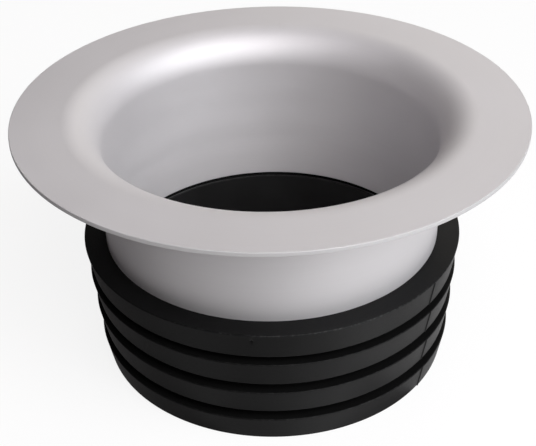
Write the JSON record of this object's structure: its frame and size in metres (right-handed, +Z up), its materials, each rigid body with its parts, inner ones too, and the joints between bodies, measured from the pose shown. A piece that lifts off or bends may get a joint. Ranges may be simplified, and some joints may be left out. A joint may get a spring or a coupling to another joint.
{
  "type": "toilet flange",
  "caption": "Spun aluminium toilet flange with a flat round brim, pushed into a tapered ribbed rubber sleeve that seals inside a drain pipe.",
  "frame": {"origin": "centre of the sleeve's foot, on the surface that the object stands on", "axes": "+Z up along the axis that both pieces are turned about, from the sleeve's foot to the brim"},
  "size_m": [0.144, 0.144, 0.0765],
  "materials": {
    "spun_aluminium": "satin, spun",
    "black_rubber": "matte, moulded"
  },
  "bodies": {
    "sleeve": {"ribbed_sleeve": "black_rubber"},
    "flange": {"spun_flange": "spun_aluminium"}
  },
  "joints": [
    {"name": "flange_lift", "type": "slide", "parent": "sleeve", "child": "flange", "axis": [0, 0, 1], "range_m": [0, 0.03]}
  ]
}
